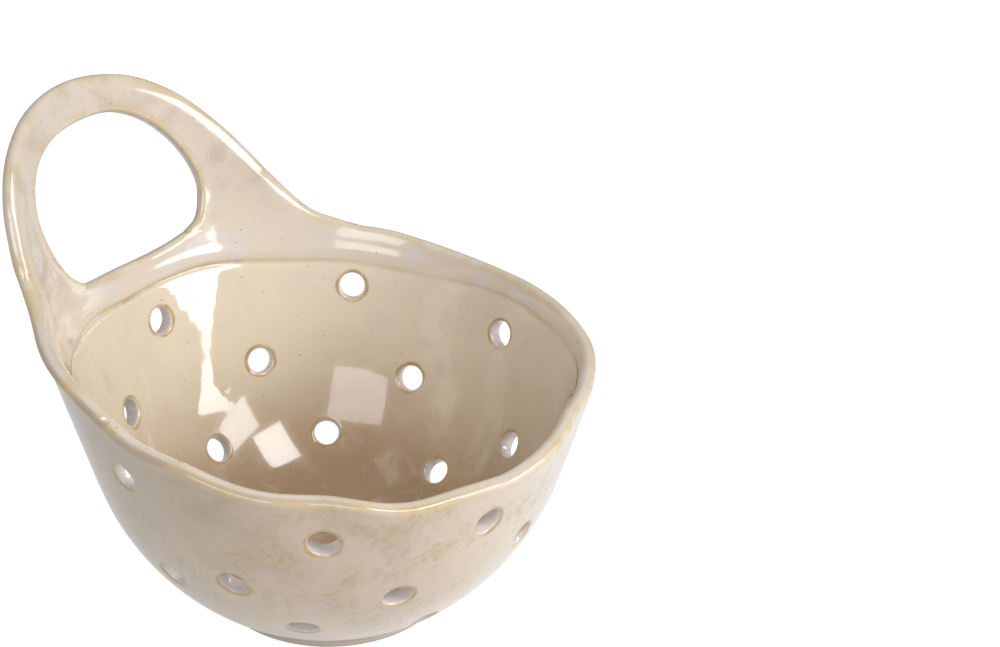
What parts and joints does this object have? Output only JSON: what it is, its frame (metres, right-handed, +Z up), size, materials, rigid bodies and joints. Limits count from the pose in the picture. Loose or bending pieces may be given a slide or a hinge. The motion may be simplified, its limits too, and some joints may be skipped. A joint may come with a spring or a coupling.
{
  "type": "colander bowl",
  "caption": "Stoneware berry colander bowl with drilled drain holes, a wavy raised lip and a flat loop handle rising from one side.",
  "frame": {"origin": "centre of the foot ring's resting face", "axes": "+Z up out of the bowl's mouth, +Y toward the handle, +X to the right when the handle is at the back"},
  "size_m": [0.166, 0.1804, 0.1527],
  "materials": {
    "bare_clay": "unglazed matt stoneware, wiped clean of glaze",
    "bowl_glaze": "glossy cream reactive glaze, tan where it pools, amber round the drain holes",
    "collar_glaze": "glossy cream reactive glaze, ochre where it breaks over the edges"
  },
  "bodies": {
    "root": {"foot_ring": "bare_clay", "bowl_floor": "bowl_glaze", "bowl_wall": "bowl_glaze", "rim_collar": "collar_glaze", "handle_loop": "collar_glaze"}
  },
  "joints": []
}
